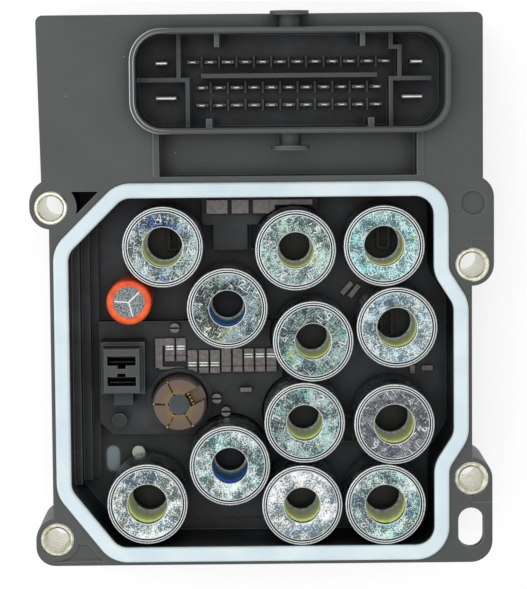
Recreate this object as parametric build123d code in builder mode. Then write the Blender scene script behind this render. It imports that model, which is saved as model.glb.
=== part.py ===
from build123d import *
import os

os.makedirs("parts", exist_ok=True)

# The control half of an anti-lock brake module: a moulded housing with a plug shroud, a row of
# contacts and twelve solenoid coils that slip over the valve domes of the hydraulic block.
# Z points out of the cavity towards that block, Y points to the plug end, X to the right.
# The rear cover lies on Z = 0 and the origin is under the middle of the module.

# ---- heights above the rear face ---------------------------------------------------------
cover_thickness = 1.8
boss_bottom = 6.0
cavity_floor = 7.5
floor_thickness = 2.0
deck_top = 11.5
plug_floor = 17.5
plug_floor_thickness = 3.0
pocket_floor = 20.3
flange_top = 28.0
shroud_rim = 36.0

# ---- flange and sealing bead -------------------------------------------------------------
flange_left = -48.6
flange_right = 47.8
flange_north = 25.85
flange_south = -63.4
flange_thickness = 3.0
edge_round = 0.4

seal_left = -46.0
seal_right = 45.25
seal_north = 23.0
seal_south = -60.85
seal_neck = 40.75
seal_bend = 6.0
seal_width = 3.4
seal_height = 1.5
seal_crown = 0.7
seal_groove_depth = 0.6
north_west_cut = 13.6
south_west_cut_x = 11.6
south_west_cut_y = 14.65
neck_run = 7.0
upper_neck_south = -3.2
lower_neck_north = -33.9
wall_outside_seal = 2.3
cavity_inside_seal = 1.75

# ---- fixing sleeves, lobes and tabs ------------------------------------------------------
sleeve_radius = 3.93
sleeve_bore_radius = 2.75
sleeve_proud = 0.3
sleeve_chamfer = 0.4
sleeve_fit = 0.05
lobe_radius = 4.9
north_lobe_corner = 5.6
south_lobe_corner = 4.4
upper_left_sleeve = (-48.1, 19.2)
lower_left_sleeve = (-47.75, -57.25)
upper_right_sleeve = (47.8, 5.45)
lower_right_sleeve = (47.55, -43.9)
tab_corner = 5.0
upper_tab_right = 52.85
upper_tab_gap = 5.8
lower_tab_right = 52.45
lower_tab_gap = 5.45
boss_relief = 0.25
recess_place = (48.1, 19.55)
recess_radius = 2.83
recess_depth = 0.6
slot_place = (47.45, -55.3)
slot_width = 5.8
slot_length = 9.3
core_depth = 14.0
core_outside_seal = 3.3
core_round_boss = 5.9
core_rim = 2.95
core_south_rim = 1.1
shallow_core_depth = 0.4

# ---- connector plate, plug pocket and shroud ---------------------------------------------
plate_left_north = -51.0
plate_left_south = -50.2
plate_right = 50.35
plate_north = 62.85
plate_south = 24.5
plate_corner = 1.6

pocket_left = -23.25
pocket_right = 35.25
pocket_south = 26.1
pocket_rib = 1.45
pocket_rib_rise = 0.3

shroud_x = 6.45
shroud_y = 47.8
shroud_length = 72.0
shroud_width = 23.75
shroud_corner = 7.4
shroud_wall = 1.35
lead_in = 0.5

trunnion_z = 31.5
trunnion_stem_radius = 2.4
trunnion_disc_radius = 4.4
trunnion_disc_thickness = 0.95
trunnion_reach = 15.6

rib_thickness = 0.95
rib_height = 7.0
bar_length = 40.1
bar_y = 1.05
upper_rib_x = 25.2
lower_rib_x = 23.2
side_rib_y = 0.2
side_rib_end = 32.5
jog_y = 7.4
north_key_x = 16.35
north_key_width = 1.1
north_key_reach = 3.0
south_key_x = 18.2
south_key_width = 1.4
south_key_reach = 2.05
key_below_rim = 2.0
ladder_thickness = 0.35
ladder_length = 2.6
ladder_height = 3.0

# ---- terminals ---------------------------------------------------------------------------
pin_pitch = 4.0
pin_width = 1.5
pin_thickness = 0.64
pin_height = 6.5
tip_length = 0.8
tip_angle = 17
pin_shoulder_width = 2.8
pin_shoulder_height = 0.9
row_north = 4.2
row_middle = -1.65
row_south = -5.7
long_row_count = 12
short_row_count = 11
small_blade_width = 2.8
large_blade_width = 4.8
blade_thickness = 0.8
small_blade_x = 29.15
large_blade_x = 28.15
blade_y = 4.0
terminal_fit = 0.05

# ---- rear bay and circuit board ----------------------------------------------------------
bay_wall = 2.0
board_thickness = 1.6
board_gap = 0.5
board_margin = 0.4
standoff_radius = 2.5
cavity_standoffs = [(-39.0, -20.0), (0.0, -20.0), (38.5, -20.0)]
plug_standoffs = [(-43.0, 45.0), (44.5, 45.0)]

# ---- solenoid coils ----------------------------------------------------------------------
coil_top = 28.5
coil_radius = 9.25
can_height = 18.0
can_wall = 0.95
can_plate = 1.4
ring_thickness = 1.9
ring_gap = 0.1
rim_groove_width = 0.17
rim_groove_inset = 0.38
ring_edge = 0.2
bobbin_wall = 0.8
bobbin_flange = 0.8
bobbin_rim_gap = 0.35
winding_gap = 0.3
collar_height = 3.0
collar_wall = 0.75
collar_seat = 0.25
collar_gap = 0.05
leg_x = 6.3
leg_depth = 2.0
leg_width = 2.6
leg_gap = 0.2
lead_radius = 0.4
narrow_bore = 4.1
wide_bore = 4.55

# x, y and bore radius of each coil, row by row from the plug end
coil_places = [
    (-22.75, 10.1, wide_bore),
    (-8.15, -4.05, narrow_bore),
    (7.55, 9.15, narrow_bore),
    (27.75, 9.95, wide_bore),
    (11.4, -11.8, narrow_bore),
    (30.6, -8.8, wide_bore),
    (9.35, -30.55, narrow_bore),
    (29.9, -31.05, wide_bore),
    (-7.9, -40.3, narrow_bore),
    (-26.9, -49.05, wide_bore),
    (8.65, -49.65, narrow_bore),
    (27.8, -49.65, wide_bore),
]

# ---- cavity floor: ledges, deck and wells ------------------------------------------------
# x of the edge and height of each step of the left wall, from the wall inwards
ledge_steps = [(-42.4, 19.0), (-40.4, 13.0), (-38.6, 9.5)]
ledge_south = -46.0
deck_left = -38.6
deck_right = 4.5
deck_north = -8.6
deck_south = -35.4
deck_corner = 3.0
north_deck_left = -14.0
north_deck_right = 13.0
north_deck_south = 14.0
coil_clearance = 0.6
north_block_left = -11.4
north_block_right = -3.4
north_block_south = 8.1
# middle of each open frame that guards a coil's terminals on the floor
guard_frames = [(-20.65, 11.1), (-1.65, 11.1), (28.6, 11.1), (29.3, -9.7), (20.1, -35.0)]
guard_width = 3.2
guard_length = 6.8
guard_wall = 0.6
guard_corner = 0.9
guard_height = 1.6
well_lip = 0.8
well_gap = 0.3
stud_place = (-33.85, -31.7)
stud_radius = 1.75
stud_height = 2.5
vent_place = (-29.7, -40.1)
vent_radius = 1.55
vent_headroom = 1.2
oval_place = (-35.85, -41.8)
oval_width = 3.35
oval_length = 6.45
oval_depth = 1.4
membrane_thickness = 0.8

# ---- smoothing capacitor -----------------------------------------------------------------
capacitor_place = (-30.7, -2.65)
capacitor_radius = 5.0
capacitor_top = 26.5
capacitor_sleeve_wall = 0.18
capacitor_lip = 1.4
score_width = 0.3
score_depth = 0.15
score_length = 3.4
score_angles = [45, 175, 285]
capacitor_edge = 0.5

# ---- motor socket ------------------------------------------------------------------------
socket_place = (-32.65, -18.7)
socket_width = 8.6
socket_length = 10.5
socket_top = 25.0
socket_step = 19.0
socket_margin = 0.8
socket_slot_width = 6.6
socket_slot_length = 2.2
socket_slot_spacing = 4.75
socket_notch_width = 2.0
socket_notch_depth = 0.75
socket_slot_depth = 10.0
socket_bevel = 0.3
socket_tab_width = 4.4
socket_tab_reach = 2.9
socket_tab_top = 17.0
contact_width = 6.0
contact_height = 7.0
contact_sheet = 0.35
contact_gap = 0.8

# ---- choke -------------------------------------------------------------------------------
choke_place = (-19.65, -27.3)
choke_radius = 6.35
choke_hub_radius = 2.45
choke_hub_gap = 0.1
choke_top = 20.0
choke_edge = 0.5
choke_slot_width = 0.5
choke_slot_depth = 2.5
choke_slot_angles = [116, 178, 242, 302]
choke_exit_angle = 27
choke_exit_width = 3.4
choke_exit_depth = 3.5
wire_width = 0.4
wire_inset = 0.25
exit_wires = 4
exit_wire_pitch = 0.85

# ---- lead frame --------------------------------------------------------------------------
strip_thickness = 0.8
strip_width = 2.25
strip_length = 5.4
strip_pitch = 2.66
first_strip_x = -21.95
# y of the upper end of each strip, from left to right
strip_ends = [-12.6, -12.6, -15.45, -15.45, -15.45, -15.2, -15.2, -15.2, -15.2, -15.2]
strip_step = 0.7
strip_step_length = 1.3
frame_clearance = 0.3
wide_bus_width = 1.7
narrow_bus_width = 0.7
wide_bus_path = [(-20.8, -13.5), (-24.5, -13.5), (-24.5, -19.65)]
narrow_bus_path = [(-24.5, -19.65), (-19.3, -19.65), (-17.2, -20.3), (-13.8, -24.1)]
# left and right ends of the plates beside the upper wall
plate_ends = [(-12.95, -8.0), (-7.05, -3.05), (-2.05, 3.1)]
plates_south = 16.6
plates_north = 19.85
plate_tail_right = 11.9
plate_tail_south = 18.6
post_radius = 1.15
post_height = 3.5
post_slit = 0.45
post_slit_depth = 2.5
post_places = [(-20.65, -9.9), (-10.95, -26.65), (-8.85, -29.75)]
clip_place = (-4.1, -24.6)
# x, y, length and turn of each welding pad on the cavity floor
floor_pads = [(35.45, -21.0, 1.9, 90), (39.0, -20.7, 2.6, 0), (20.0, -1.5, 3.6, 48), (21.75, -2.2, 3.6, 52)]
floor_pad_width = 1.2
clip_length = 2.6
clip_width = 1.0

# ---- worked out from the sizes above -----------------------------------------------------
board_bottom = cover_thickness + board_gap
board_top = board_bottom + board_thickness
bay_ceiling = cavity_floor - floor_thickness
plug_bay_ceiling = plug_floor - plug_floor_thickness
can_bottom = coil_top - can_height
can_bore = coil_radius - can_wall
ring_bottom = coil_top - ring_thickness
well_radius = choke_radius + well_gap + well_lip
pin_top = plug_floor + pin_height
plug_half_length = shroud_length / 2 - shroud_wall
plug_half_width = shroud_width / 2 - shroud_wall
cavity_north = seal_north - cavity_inside_seal
sleeve_places = [upper_left_sleeve, lower_left_sleeve, upper_right_sleeve, lower_right_sleeve]
lead_places = [(x + side * leg_x, y) for x, y, bore in coil_places for side in (-1, 1)]

seal_corners = [
    (seal_left + north_west_cut, seal_north),
    (seal_left, seal_north - north_west_cut),
    (seal_left, seal_south + south_west_cut_y),
    (seal_left + south_west_cut_x, seal_south),
    (seal_neck, seal_south),
    (seal_neck, lower_neck_north - neck_run),
    (seal_right, lower_neck_north),
    (seal_right, upper_neck_south),
    (seal_neck, upper_neck_south + neck_run),
    (seal_neck, seal_north),
]


def row_places(count, y):
    """Places of one row of pins, measured from the middle of the shroud."""
    return [((index - (count - 1) / 2) * pin_pitch, y) for index in range(count)]


pin_places = row_places(long_row_count, row_north)
pin_places += row_places(short_row_count, row_middle)
pin_places += row_places(short_row_count, row_south)
small_blade_places = [(-small_blade_x, blade_y), (small_blade_x, blade_y)]
large_blade_places = [(-large_blade_x, -blade_y), (large_blade_x, -blade_y)]


# ---- outlines that several pieces share --------------------------------------------------
def seal_area(grow):
    """Area inside the bead's centre line, grown outwards by the given distance."""
    with BuildSketch() as area:
        with BuildLine():
            Polyline(*seal_corners, close=True)
        make_face()
        fillet(area.vertices(), radius=seal_bend)
        if grow:
            offset(amount=grow)
    return area.sketch


def body_area(inset):
    """Outline of the cavity walls and the connector plate together, pulled in by the inset."""
    with BuildSketch() as area:
        with BuildLine():
            Polyline(
                (plate_left_south + inset, plate_south + inset),
                (plate_left_north + inset, plate_north - inset),
                (plate_right - inset, plate_north - inset),
                (plate_right - inset, plate_south + inset),
                close=True,
            )
        make_face()
        fillet(area.vertices().group_by(Axis.Y)[-1], radius=plate_corner)
        add(seal_area(wall_outside_seal - inset))
        block(seal_left + north_west_cut, seal_neck - inset, cavity_north, pocket_south + inset)
    return area.sketch


def block(x_low, x_high, y_low, y_high, mode=Mode.ADD):
    """Rectangle between two x and two y values, in the sketch under way."""
    with Locations(((x_low + x_high) / 2, (y_low + y_high) / 2)):
        return Rectangle(x_high - x_low, y_high - y_low, mode=mode)


def cut_coil_circles(clearance):
    """Take a circle round every coil and round the choke's well out of the sketch under way."""
    for x, y, bore in coil_places:
        with Locations((x, y)):
            Circle(coil_radius + clearance, mode=Mode.SUBTRACT)
    with Locations(choke_place):
        Circle(well_radius + clearance, mode=Mode.SUBTRACT)


def side_pad(x_inner, x_outer, y_low, y_high, low_round, high_round):
    """Pad that sticks out sideways, with its two outer corners rounded where a radius is given."""
    with BuildSketch() as pad:
        block(min(x_inner, x_outer), max(x_inner, x_outer), y_low, y_high)
        for y, radius in ((y_low, low_round), (y_high, high_round)):
            if radius:
                fillet(pad.vertices().sort_by_distance((x_outer, y))[0], radius=radius)
    return pad.sketch


def core_pocket(x_low, x_high, y_low, y_high, sleeve_place, boss_radius):
    """Three-sided pocket between a sleeve's boss, the slanting wall and the flange's edge."""
    with BuildSketch() as pocket:
        block(x_low, x_high, y_low, y_high)
        add(seal_area(core_outside_seal), mode=Mode.SUBTRACT)
        with Locations(sleeve_place):
            Circle(boss_radius, mode=Mode.SUBTRACT)
    return pocket.faces().sort_by(Axis.X)[-1]


def at_plug(z):
    """Plane at the middle of the shroud, at the given height."""
    return Plane((shroud_x, shroud_y, z))


# full-depth lobes round the four sleeves, and the thin tabs beside the right-hand two
left_lobes = [
    side_pad(seal_left + north_west_cut, upper_left_sleeve[0] - lobe_radius,
             upper_left_sleeve[1] - lobe_radius, flange_north, lobe_radius, north_lobe_corner),
    side_pad(seal_left + south_west_cut_x, lower_left_sleeve[0] - lobe_radius,
             flange_south, lower_left_sleeve[1] + lobe_radius, south_lobe_corner, lobe_radius),
]
right_lobes = [
    side_pad(seal_neck, upper_tab_right, upper_right_sleeve[1] - lobe_radius,
             upper_right_sleeve[1] + upper_tab_gap, upper_tab_right - upper_right_sleeve[0], 0),
    side_pad(seal_neck, lower_tab_right, lower_right_sleeve[1] - lower_tab_gap,
             lower_right_sleeve[1] + lobe_radius, 0, lower_tab_right - lower_right_sleeve[0]),
]
tabs = [
    side_pad(seal_neck, upper_tab_right, upper_right_sleeve[1] + upper_tab_gap, flange_north, 0, tab_corner),
    side_pad(seal_neck, lower_tab_right, flange_south, lower_right_sleeve[1] - lower_tab_gap, tab_corner, 0),
]

# ---- housing: one glass-filled moulding --------------------------------------------------
with BuildPart() as housing:
    # front plate with its tabs and lobes, softened round its edge
    with BuildSketch(Plane.XY.offset(flange_top)):
        add(body_area(0))
        block(flange_left, flange_right, lower_left_sleeve[1], upper_left_sleeve[1])
        block(seal_left, seal_right, flange_south, flange_north)
        for pad in left_lobes + right_lobes + tabs:
            add(pad)
    extrude(amount=-flange_thickness)
    fillet(housing.faces().sort_by(Axis.Z)[-1].outer_wire().edges(), radius=edge_round)
    # walls round the cavity, the block under the plug, and the bosses behind the lobes
    with BuildSketch(Plane.XY.offset(cover_thickness)):
        add(body_area(0))
    extrude(amount=flange_top - flange_thickness - cover_thickness)
    with BuildSketch(Plane.XY.offset(boss_bottom)):
        for lobe in left_lobes + right_lobes:
            add(lobe)
    extrude(amount=flange_top - flange_thickness - boss_bottom)
    # the right-hand bosses stand a little lower than the flange beyond its edge
    with BuildSketch(Plane.XY.offset(flange_top)):
        for lobe in right_lobes:
            add(lobe)
        block(seal_neck, flange_right, flange_south, flange_north, mode=Mode.SUBTRACT)
    extrude(amount=-boss_relief, mode=Mode.SUBTRACT)
    with BuildSketch(Plane.XY.offset(flange_top)):
        with Locations(*sleeve_places):
            Circle(sleeve_radius + sleeve_fit)
    extrude(amount=boss_bottom - flange_top, mode=Mode.SUBTRACT)
    # slotted hole, round recess and cored-out corners
    with BuildSketch(Plane.XY.offset(flange_top)):
        with Locations(slot_place):
            SlotOverall(slot_length, slot_width, rotation=90)
    extrude(amount=-flange_thickness, mode=Mode.SUBTRACT)
    with BuildSketch(Plane.XY.offset(flange_top)):
        with Locations(recess_place):
            Circle(recess_radius)
    extrude(amount=-recess_depth, mode=Mode.SUBTRACT)
    with BuildSketch(Plane.XY.offset(flange_top)):
        add(core_pocket(flange_left, seal_left + north_west_cut, upper_left_sleeve[1] - lobe_radius,
                        flange_north - core_rim, upper_left_sleeve, core_round_boss))
    extrude(amount=-core_depth, mode=Mode.SUBTRACT)
    with BuildSketch(Plane.XY.offset(flange_top)):
        add(core_pocket(flange_left, seal_left + south_west_cut_x, flange_south + core_south_rim,
                        lower_left_sleeve[1] - core_south_rim, lower_left_sleeve, lobe_radius))
    extrude(amount=-shallow_core_depth, mode=Mode.SUBTRACT)
    # coil cavity with its stepped left wall
    with BuildSketch(Plane.XY.offset(cavity_floor)):
        add(seal_area(-cavity_inside_seal))
    extrude(amount=flange_top - cavity_floor, mode=Mode.SUBTRACT)
    for ledge_x, ledge_top in ledge_steps:
        with BuildSketch(Plane.XY.offset(cavity_floor)):
            add(seal_area(-cavity_inside_seal))
            block(flange_left, ledge_x, ledge_south, flange_north, mode=Mode.INTERSECT)
        extrude(amount=ledge_top - cavity_floor)
    # groove that the sealing bead lies in
    with BuildSketch(Plane.XY.offset(flange_top)):
        add(seal_area(seal_width / 2))
        add(seal_area(-seal_width / 2), mode=Mode.SUBTRACT)
    extrude(amount=-seal_groove_depth, mode=Mode.SUBTRACT)

    # raised decks that carry the lead frame, cut away round the coils
    with BuildSketch(Plane.XY.offset(cavity_floor)) as deck:
        block(deck_left, deck_right, deck_south, deck_north)
        chamfer(deck.vertices().sort_by(Axis.X)[:2].sort_by(Axis.Y)[0], length=deck_corner)
        block(north_deck_left, north_deck_right, north_deck_south, cavity_north)
        block(north_block_left, north_block_right, north_block_south, cavity_north)
        cut_coil_circles(coil_clearance)
    extrude(amount=deck_top - cavity_floor)
    with BuildSketch(Plane.XY.offset(cavity_floor)):
        with Locations(*guard_frames):
            RectangleRounded(guard_width, guard_length, guard_corner)
            RectangleRounded(guard_width - 2 * guard_wall, guard_length - 2 * guard_wall,
                             guard_corner - guard_wall, mode=Mode.SUBTRACT)
    extrude(amount=guard_height)
    # lip and centre post of the choke's well, guide stud and oval well
    with BuildSketch(Plane.XY.offset(cavity_floor)):
        with Locations(choke_place):
            Circle(well_radius + coil_clearance)
            Circle(choke_radius + well_gap, mode=Mode.SUBTRACT)
    extrude(amount=deck_top - cavity_floor)
    with BuildSketch(Plane.XY.offset(cavity_floor)):
        with Locations(choke_place):
            Circle(well_radius)
            Circle(choke_radius + well_gap, mode=Mode.SUBTRACT)
    extrude(amount=deck_top + well_lip - cavity_floor)
    with BuildSketch(Plane.XY.offset(cavity_floor)):
        with Locations(choke_place):
            Circle(choke_hub_radius - choke_hub_gap)
    extrude(amount=choke_top - cavity_floor)
    with BuildSketch(Plane.XY.offset(deck_top)):
        with Locations(stud_place):
            Circle(stud_radius)
    extrude(amount=stud_height)
    with BuildSketch(Plane.XY.offset(cavity_floor)):
        with Locations(oval_place):
            SlotOverall(oval_length, oval_width, rotation=90)
    extrude(amount=-oval_depth, mode=Mode.SUBTRACT)

    # pocket beside the shroud, between two low ribs
    with BuildSketch(Plane.XY.offset(flange_top)):
        block(pocket_left, pocket_right, pocket_south, shroud_y)
    extrude(amount=pocket_floor - flange_top, mode=Mode.SUBTRACT)
    with BuildSketch(Plane.XY.offset(flange_top)):
        block(pocket_left - pocket_rib, pocket_left, pocket_south, shroud_y)
        block(pocket_right, pocket_right + pocket_rib, pocket_south, shroud_y)
    extrude(amount=pocket_rib_rise)
    # shroud with a rounded rim and a bevelled mouth
    with BuildSketch(at_plug(plug_floor)):
        RectangleRounded(shroud_length, shroud_width, shroud_corner)
    extrude(amount=shroud_rim - plug_floor)
    with BuildSketch(at_plug(plug_floor)):
        RectangleRounded(2 * plug_half_length, 2 * plug_half_width, shroud_corner - shroud_wall)
    extrude(amount=shroud_rim - plug_floor, mode=Mode.SUBTRACT)
    rim = housing.faces().filter_by(Plane.XY).sort_by(Axis.Z)[-1]
    mouth_edges = rim.inner_wires()[0].edges()
    fillet(rim.outer_wire().edges(), radius=edge_round)
    chamfer(mouth_edges, length=lead_in)
    # trunnions that the plug's lever swings on
    for side in (-1, 1):
        wall_y = shroud_y + side * (shroud_width - shroud_wall) / 2
        disc_y = shroud_y + side * (trunnion_reach - trunnion_disc_thickness)
        with BuildSketch(Plane((shroud_x, wall_y, trunnion_z), z_dir=(0, side, 0))):
            Circle(trunnion_stem_radius)
        extrude(amount=abs(disc_y - wall_y))
        with BuildSketch(Plane((shroud_x, disc_y, trunnion_z), z_dir=(0, side, 0))):
            Circle(trunnion_disc_radius)
        extrude(amount=trunnion_disc_thickness)

    # ribs that part the power blades from the signal pins
    half_rib = rib_thickness / 2
    with BuildSketch(at_plug(plug_floor)):
        block(-upper_rib_x - half_rib, -upper_rib_x + half_rib, side_rib_y, plug_half_width)
        block(-plug_half_length, half_rib - lower_rib_x, side_rib_y - half_rib, side_rib_y + half_rib)
        block(-lower_rib_x - half_rib, -lower_rib_x + half_rib, -plug_half_width, side_rib_y)
        block(lower_rib_x - half_rib, lower_rib_x + half_rib, -plug_half_width, side_rib_y)
        block(lower_rib_x - half_rib, side_rib_end, side_rib_y - half_rib, side_rib_y + half_rib)
        block(upper_rib_x - half_rib, upper_rib_x + half_rib, side_rib_y, jog_y)
        block(lower_rib_x - half_rib, upper_rib_x + half_rib, jog_y - half_rib, jog_y + half_rib)
        block(lower_rib_x - half_rib, lower_rib_x + half_rib, jog_y, plug_half_width)
        block(-bar_length / 2, bar_length / 2, bar_y - half_rib, bar_y + half_rib)
    extrude(amount=rib_height)
    # keys that only let the right plug in
    with BuildSketch(at_plug(plug_floor)):
        with Locations((-north_key_x, plug_half_width), (north_key_x, plug_half_width)):
            Rectangle(north_key_width, north_key_reach, align=(Align.CENTER, Align.MAX))
        with Locations((-south_key_x, -plug_half_width), (south_key_x, -plug_half_width)):
            Rectangle(south_key_width, south_key_reach, align=(Align.CENTER, Align.MIN))
    extrude(amount=shroud_rim - key_below_rim - plug_floor)
    # low ribs between neighbouring pins
    with BuildSketch(at_plug(plug_floor)):
        with Locations(*row_places(long_row_count - 1, row_north), *row_places(short_row_count - 1, row_middle),
                       *row_places(short_row_count - 1, row_south)):
            Rectangle(ladder_thickness, ladder_length)
    extrude(amount=ladder_height)

    # bay for the circuit board, deeper under the plug, with standoffs down to the board
    with BuildSketch(Plane.XY.offset(cover_thickness)):
        add(body_area(bay_wall))
    extrude(amount=bay_ceiling - cover_thickness, mode=Mode.SUBTRACT)
    with BuildSketch(Plane.XY.offset(bay_ceiling)):
        add(body_area(bay_wall))
        block(plate_left_north, plate_right, pocket_south + bay_wall, plate_north, mode=Mode.INTERSECT)
    extrude(amount=plug_bay_ceiling - bay_ceiling, mode=Mode.SUBTRACT)
    with BuildSketch(Plane.XY.offset(board_top)):
        with Locations(*cavity_standoffs):
            Circle(standoff_radius)
    extrude(amount=bay_ceiling - board_top)
    with BuildSketch(Plane.XY.offset(board_top)):
        with Locations(*plug_standoffs):
            Circle(standoff_radius)
    extrude(amount=plug_bay_ceiling - board_top)
    # slots for the terminals and holes for the coils' leads
    with BuildSketch(at_plug(plug_floor)):
        with Locations(*pin_places):
            Rectangle(pin_width + 2 * terminal_fit, pin_thickness + 2 * terminal_fit)
        with Locations(*small_blade_places):
            Rectangle(small_blade_width + 2 * terminal_fit, blade_thickness + 2 * terminal_fit)
        with Locations(*large_blade_places):
            Rectangle(large_blade_width + 2 * terminal_fit, blade_thickness + 2 * terminal_fit)
    extrude(amount=-plug_floor_thickness, mode=Mode.SUBTRACT)
    with BuildSketch(Plane.XY.offset(cavity_floor)):
        with Locations(*lead_places):
            Circle(lead_radius + terminal_fit)
    extrude(amount=-floor_thickness, mode=Mode.SUBTRACT)
housing.part.label = "housing"
export_step(housing.part, "parts/housing.step")

# ---- rear cover and circuit board --------------------------------------------------------
with BuildPart() as rear_cover:
    with BuildSketch():
        add(body_area(0))
    extrude(amount=cover_thickness)
rear_cover.part.label = "rear_cover"
export_step(rear_cover.part, "parts/rear_cover.step")

with BuildPart() as circuit_board:
    with BuildSketch(Plane.XY.offset(board_bottom)):
        add(body_area(bay_wall + board_margin))
    extrude(amount=board_thickness)
circuit_board.part.label = "circuit_board"
export_step(circuit_board.part, "parts/circuit_board.step")

# ---- sealing bead ------------------------------------------------------------------------
with BuildPart() as sealing_gasket:
    with BuildSketch(Plane.XY.offset(flange_top - seal_groove_depth)):
        add(seal_area(seal_width / 2))
        add(seal_area(-seal_width / 2), mode=Mode.SUBTRACT)
    extrude(amount=seal_height)
    fillet(sealing_gasket.faces().sort_by(Axis.Z)[-1].edges(), radius=seal_crown)
sealing_gasket.part.label = "sealing_gasket"
export_step(sealing_gasket.part, "parts/sealing_gasket.step")

# ---- fixing sleeves ----------------------------------------------------------------------
for number, place in enumerate(sleeve_places, start=1):
    with BuildPart() as sleeve:
        with BuildSketch(Plane.XY.offset(boss_bottom)):
            with Locations(place):
                Circle(sleeve_radius)
                Circle(sleeve_bore_radius, mode=Mode.SUBTRACT)
        extrude(amount=flange_top + sleeve_proud - boss_bottom)
        chamfer(sleeve.edges().filter_by(GeomType.CIRCLE).group_by(Axis.Z)[-1], length=sleeve_chamfer)
    sleeve.part.label = f"mounting_sleeve_{number}"
    export_step(sleeve.part, f"parts/mounting_sleeve_{number}.step")


# ---- solenoid coils ----------------------------------------------------------------------
def coil_can(place, bore):
    """Steel cup with a hole in its bottom for the valve dome and two for the bobbin's legs."""
    with BuildPart() as can:
        with BuildSketch(Plane.XY.offset(can_bottom)):
            with Locations(place):
                Circle(coil_radius)
        extrude(amount=can_height)
        chamfer(can.edges().group_by(Axis.Z)[-1], length=ring_edge)
        with BuildSketch(Plane.XY.offset(can_bottom + can_plate)):
            with Locations(place):
                Circle(can_bore)
        extrude(amount=can_height - can_plate, mode=Mode.SUBTRACT)
        with BuildSketch(Plane.XY.offset(coil_top)):
            with Locations(place):
                Circle(coil_radius - rim_groove_inset)
                Circle(coil_radius - rim_groove_inset - rim_groove_width, mode=Mode.SUBTRACT)
        extrude(amount=-rim_groove_width, mode=Mode.SUBTRACT)
        with BuildSketch(Plane.XY.offset(can_bottom)):
            with Locations(place):
                Circle(bore + collar_seat + collar_gap)
                with Locations((-leg_x, 0), (leg_x, 0)):
                    Rectangle(leg_depth + 2 * leg_gap, leg_width + 2 * leg_gap)
        extrude(amount=can_plate, mode=Mode.SUBTRACT)
    return can.part


def coil_ring(place, bore):
    """Pole ring that closes the cup."""
    ring_radius = can_bore - ring_gap
    with BuildPart() as ring:
        with BuildSketch(Plane.XY.offset(ring_bottom)):
            with Locations(place):
                Circle(ring_radius)
                Circle(bore, mode=Mode.SUBTRACT)
        extrude(amount=ring_thickness)
    return ring.part


def coil_bobbin(place, bore):
    """Plastic bobbin on two legs that stand on the cavity floor."""
    flange_radius = can_bore - bobbin_rim_gap
    with BuildPart() as bobbin:
        with BuildSketch(Plane.XY.offset(can_bottom + can_plate)):
            with Locations(place):
                Circle(bore + bobbin_wall)
        extrude(amount=ring_bottom - can_bottom - can_plate)
        for flange_bottom in (can_bottom + can_plate, ring_bottom - bobbin_flange):
            with BuildSketch(Plane.XY.offset(flange_bottom)):
                with Locations(place):
                    Circle(flange_radius)
            extrude(amount=bobbin_flange)
        with BuildSketch(Plane.XY.offset(cavity_floor)):
            with Locations(place):
                with Locations((-leg_x, 0), (leg_x, 0)):
                    Rectangle(leg_depth, leg_width)
        extrude(amount=can_bottom + can_plate - cavity_floor)
        with BuildSketch(Plane.XY.offset(can_bottom + can_plate)):
            with Locations(place):
                Circle(bore)
        extrude(amount=ring_bottom - can_bottom - can_plate, mode=Mode.SUBTRACT)
        with BuildSketch(Plane.XY.offset(can_bottom + can_plate)):
            with Locations(place):
                Circle(bore + collar_seat + collar_gap)
        extrude(amount=collar_height - can_plate, mode=Mode.SUBTRACT)
    return bobbin.part


for number, (x, y, bore) in enumerate(coil_places, start=1):
    for name, shape in (("can", coil_can), ("ring", coil_ring), ("bobbin", coil_bobbin)):
        piece = shape((x, y), bore)
        piece.label = f"coil_{name}_{number}"
        export_step(piece, f"parts/coil_{name}_{number}.step")

winding_bottom = can_bottom + can_plate + bobbin_flange
with BuildPart() as coil_windings:
    with BuildSketch(Plane.XY.offset(winding_bottom)):
        for x, y, bore in coil_places:
            with Locations((x, y)):
                Circle(can_bore - winding_gap)
                Circle(bore + bobbin_wall, mode=Mode.SUBTRACT)
    extrude(amount=ring_bottom - bobbin_flange - winding_bottom)
coil_windings.part.label = "coil_windings"
export_step(coil_windings.part, "parts/coil_windings.step")

with BuildPart() as coil_collars:
    with BuildSketch(Plane.XY.offset(can_bottom)):
        for x, y, bore in coil_places:
            with Locations((x, y)):
                Circle(bore + collar_seat)
                Circle(bore + collar_seat - collar_wall, mode=Mode.SUBTRACT)
    extrude(amount=collar_height)
coil_collars.part.label = "coil_collars"
export_step(coil_collars.part, "parts/coil_collars.step")

with BuildPart() as coil_leads:
    with BuildSketch(Plane.XY.offset(board_top)):
        with Locations(*lead_places):
            Circle(lead_radius)
    extrude(amount=cavity_floor - board_top)
coil_leads.part.label = "coil_leads"
export_step(coil_leads.part, "parts/coil_leads.step")

# ---- smoothing capacitor -----------------------------------------------------------------
with BuildPart() as capacitor_can:
    with BuildSketch(Plane.XY.offset(cavity_floor)):
        with Locations(capacitor_place):
            Circle(capacitor_radius)
    extrude(amount=capacitor_top - cavity_floor)
    fillet(capacitor_can.edges().group_by(Axis.Z)[-1], radius=capacitor_edge)
    # three scored lines that let the end burst open safely
    with BuildSketch(Plane((*capacitor_place, capacitor_top))):
        for angle in score_angles:
            with PolarLocations(score_length / 2, 1, start_angle=angle):
                Rectangle(score_length, score_width)
    extrude(amount=-score_depth, mode=Mode.SUBTRACT)
capacitor_can.part.label = "capacitor_can"
export_step(capacitor_can.part, "parts/capacitor_can.step")

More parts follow.
